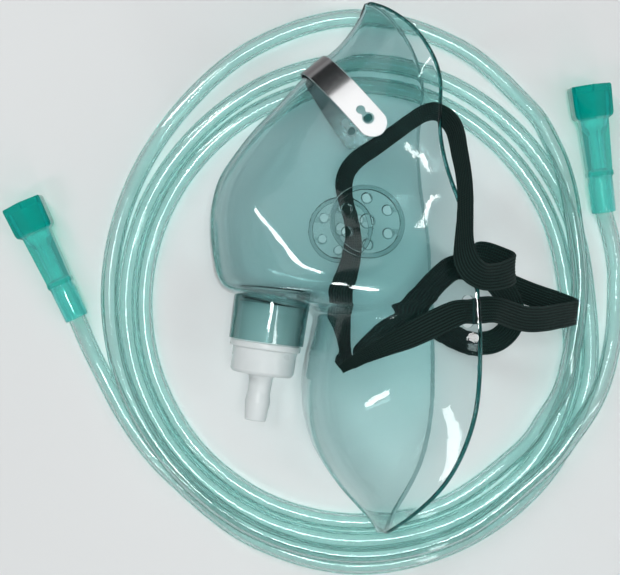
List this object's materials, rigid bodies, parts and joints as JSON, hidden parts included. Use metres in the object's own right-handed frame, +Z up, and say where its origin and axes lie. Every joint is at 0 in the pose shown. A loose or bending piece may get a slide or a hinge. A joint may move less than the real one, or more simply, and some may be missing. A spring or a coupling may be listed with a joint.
{
  "type": "oxygen face mask",
  "caption": "Soft clear face mask with nose clip, vent discs, inlet connector and elastic head strap, lying inside a coil of supply tube with two soft connectors.",
  "frame": {"origin": "on the surface that the object lies on, under the middle of the mask as it lies on its far cheek", "axes": "+Z up; +Y from the chin of the mask towards its nose bridge; +X from the nose towards the open side that faces the wearer"},
  "size_m": [0.2252, 0.2059, 0.0823],
  "materials": {
    "soft_shell": "clear green soft vinyl, glossy",
    "clip_metal": "bright rolled strip",
    "white_plastic": "moulded white, satin",
    "elastic": "ribbed braided elastic, dark green",
    "tube": "clear green extruded tube, glossy",
    "green_connector": "soft translucent teal moulding"
  },
  "bodies": {
    "mask": {"mask_shell_bridge": "soft_shell", "mask_shell_nose": "soft_shell", "mask_shell_chin": "soft_shell", "nose_clip": "clip_metal", "head_strap": "elastic", "tube_coil": "tube", "tube_end_left": "tube", "tube_end_right": "tube", "tube_connector_left": "green_connector", "tube_connector_right": "green_connector"},
    "inlet": {"inlet_connector": "white_plastic"}
  },
  "joints": [
    {"name": "inlet_swivel", "type": "hinge", "parent": "mask", "child": "inlet", "pos_m": [-0.02426, -0.02452, 0.04494], "axis": [-0.1391, -0.9901, 0.0159], "continuous": true}
  ]
}
